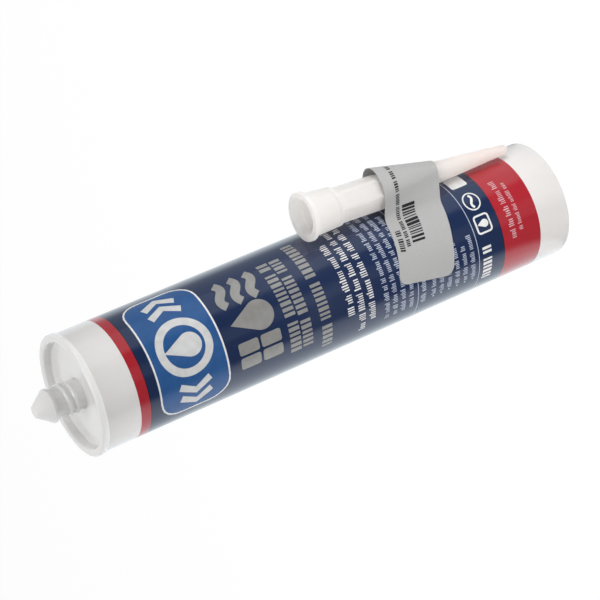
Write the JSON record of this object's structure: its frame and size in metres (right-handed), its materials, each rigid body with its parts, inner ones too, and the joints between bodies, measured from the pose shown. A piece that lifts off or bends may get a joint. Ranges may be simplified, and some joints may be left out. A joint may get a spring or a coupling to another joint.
{
  "type": "caulk cartridge",
  "caption": "Sealant tube for a caulking gun: open-ended barrel with a sliding piston, a threaded neck with a closed tip, and a spare nozzle held along its side by a paper sticker.",
  "frame": {"origin": "centre of the rear rim of the barrel, on the surface that the tube stands on", "axes": "+Z along the barrel from the open rear end to the tip; the spare nozzle lies on the side of +X and -Y"},
  "size_m": [0.0658, 0.0556, 0.2424],
  "materials": {
    "printed_tube": "white extruded tube printed navy with red bands, glossy",
    "natural_plastic": "natural polyethylene, whitish and slightly translucent, satin",
    "piston_plastic": "natural polyethylene, satin",
    "paste": "soft white paste",
    "nozzle_plastic": "natural polyethylene, whitish and slightly translucent, satin",
    "label_paper": "matte pale grey paper"
  },
  "bodies": {
    "cartridge": {"barrel": "printed_tube", "head": "natural_plastic", "sealant": "paste", "spare_nozzle": "nozzle_plastic", "sticker": "label_paper"},
    "piston": {"piston": "piston_plastic"}
  },
  "joints": [
    {"name": "piston_slide", "type": "slide", "parent": "cartridge", "child": "piston", "axis": [0, 0, 1], "range_m": [0, 0.176], "deforming": ["sealant"]}
  ]
}
